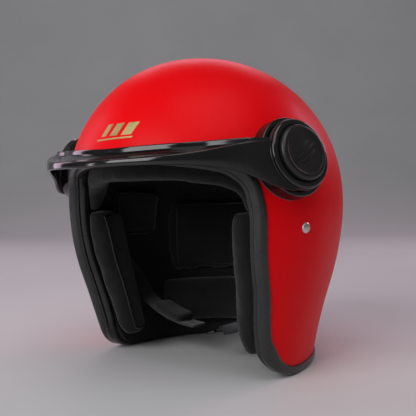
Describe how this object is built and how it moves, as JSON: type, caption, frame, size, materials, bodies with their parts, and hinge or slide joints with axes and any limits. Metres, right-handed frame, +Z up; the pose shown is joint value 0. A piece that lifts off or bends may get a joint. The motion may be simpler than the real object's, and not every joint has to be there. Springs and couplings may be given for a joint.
{
  "type": "motorcycle helmet",
  "caption": "Open-face motorcycle helmet with a tilting peak on round side pivots, padded liner, cheek pads and a buckled chin strap.",
  "frame": {"origin": "middle of the helmet's footprint box, on the plane that its lower rim rests on", "axes": "+Z up, the wearer faces -Y, +X is the wearer's left"},
  "size_m": [0.2682, 0.2879, 0.2641],
  "materials": {
    "shell_paint": "satin red lacquer",
    "impact_foam": "dark beaded foam",
    "edge_vinyl": "soft satin vinyl",
    "liner_fabric": "knitted mesh",
    "webbing": "woven polyester",
    "black_plastic": "gloss black",
    "steel": "brushed",
    "moulded_plastic": "fine moulded grain",
    "emblem_gold": "satin gold print"
  },
  "bodies": {
    "shell": {"outer_shell": "shell_paint", "eps_liner": "impact_foam", "face_opening_trim": "edge_vinyl", "lower_edge_trim": "edge_vinyl", "brow_pad": "liner_fabric", "side_pad_left": "liner_fabric", "side_pad_right": "liner_fabric", "rear_head_pad": "liner_fabric", "crown_pad": "liner_fabric", "neck_roll": "liner_fabric", "cheek_pad_left": "liner_fabric", "cheek_pad_right": "liner_fabric", "cheek_stud_upper_left": "moulded_plastic", "cheek_stud_upper_right": "moulded_plastic", "cheek_stud_lower_left": "moulded_plastic", "cheek_stud_lower_right": "moulded_plastic", "pivot_base_left": "black_plastic", "pivot_base_right": "black_plastic", "pivot_pin_left": "steel", "pivot_pin_right": "steel", "pivot_nut_left": "steel", "pivot_nut_right": "steel", "strap_rivet_left": "steel", "strap_rivet_right": "steel", "strap_anchor_left": "steel", "strap_anchor_right": "steel", "strap_web_upper_left": "webbing", "strap_web_upper_right": "webbing", "brow_emblem": "emblem_gold"},
    "peak": {"peak": "black_plastic", "pivot_collar_left": "black_plastic", "pivot_collar_right": "black_plastic"},
    "cap_left": {"pivot_cap_left": "black_plastic"},
    "cap_right": {"pivot_cap_right": "black_plastic"},
    "chin_strap": {"strap_web_left": "webbing", "strap_web_right": "webbing", "chin_pad": "liner_fabric", "buckle_body": "steel", "buckle_axle": "steel", "ratchet_tongue": "steel"},
    "buckle_lever": {"buckle_lever": "moulded_plastic"}
  },
  "joints": [
    {"name": "peak_tilt", "type": "hinge", "parent": "shell", "child": "peak", "pos_m": [0, -0.0463, 0.1735], "axis": [-1, 0, 0], "range_deg": [0, 12]},
    {"name": "cap_turn_left", "type": "hinge", "parent": "peak", "child": "cap_left", "pos_m": [0.1105, -0.0432, 0.1711], "axis": [0.9181, -0.31, 0.247], "range_deg": [0, 45]},
    {"name": "cap_turn_right", "type": "hinge", "parent": "peak", "child": "cap_right", "pos_m": [-0.1105, -0.0432, 0.1711], "axis": [-0.9181, -0.31, 0.247], "range_deg": [0, 45]},
    {"name": "chin_strap_swing", "type": "hinge", "parent": "shell", "child": "chin_strap", "pos_m": [0, -0.0003, 0.074], "axis": [1, 0, 0], "range_deg": [-15, 25]},
    {"name": "buckle_lever_lift", "type": "hinge", "parent": "chin_strap", "child": "buckle_lever", "pos_m": [0.04731, -0.00012, 0.0336], "axis": [0.0171, -0.9998, 0.0058], "range_deg": [0, 40], "stiffness_Nm_per_rad": 0.03, "springref_deg": -17.19}
  ]
}
